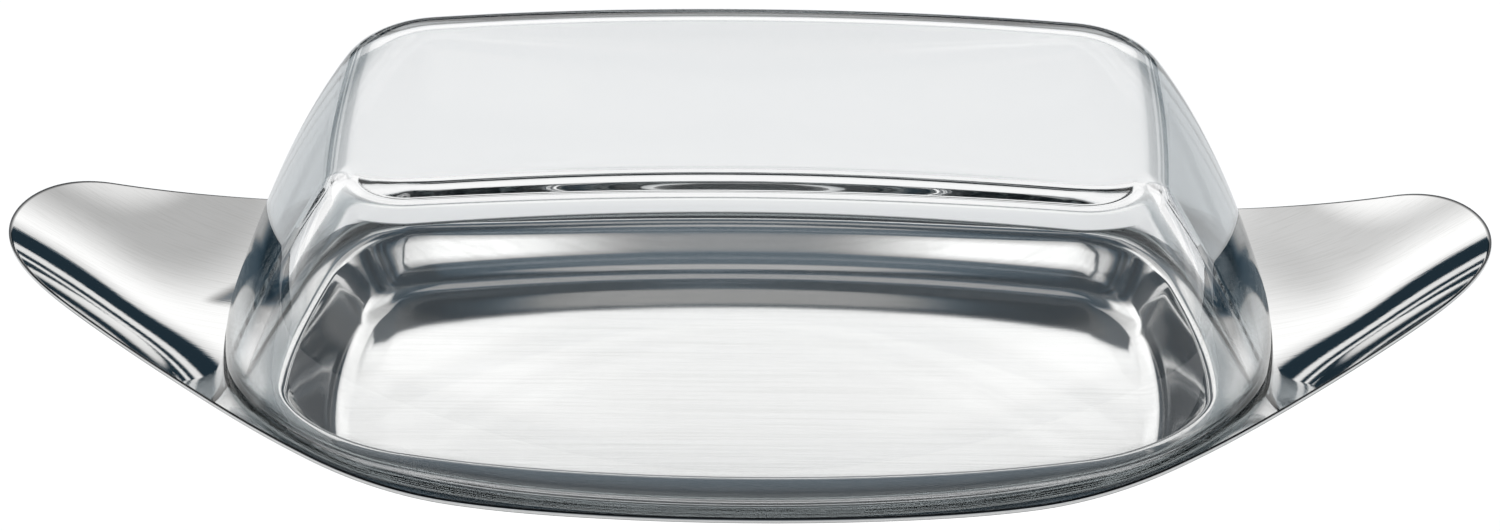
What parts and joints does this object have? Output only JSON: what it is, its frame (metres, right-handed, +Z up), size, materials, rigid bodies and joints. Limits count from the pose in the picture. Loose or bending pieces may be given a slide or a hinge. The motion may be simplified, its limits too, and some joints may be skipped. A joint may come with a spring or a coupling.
{
  "type": "butter dish",
  "caption": "Low oblong butter dish: a pressed steel base with a sunken well and two upswept dished handles, under a loose clear glass lid whose rim follows the curved flange.",
  "frame": {"origin": "centre of the dish, on the table under the flat underside of the well", "axes": "+X along the dish from handle to handle, +Y across it, +Z up"},
  "size_m": [0.232, 0.1138, 0.053],
  "materials": {
    "steel": "satin brushed, with a bright trimmed edge",
    "glass": "clear pressed glass, polished"
  },
  "bodies": {
    "base": {"steel_base": "steel"},
    "lid": {"glass_lid": "glass"}
  },
  "joints": [
    {"name": "lid_lift", "type": "slide", "parent": "base", "child": "lid", "axis": [0, 0, 1], "range_m": [0, 0.08]}
  ]
}
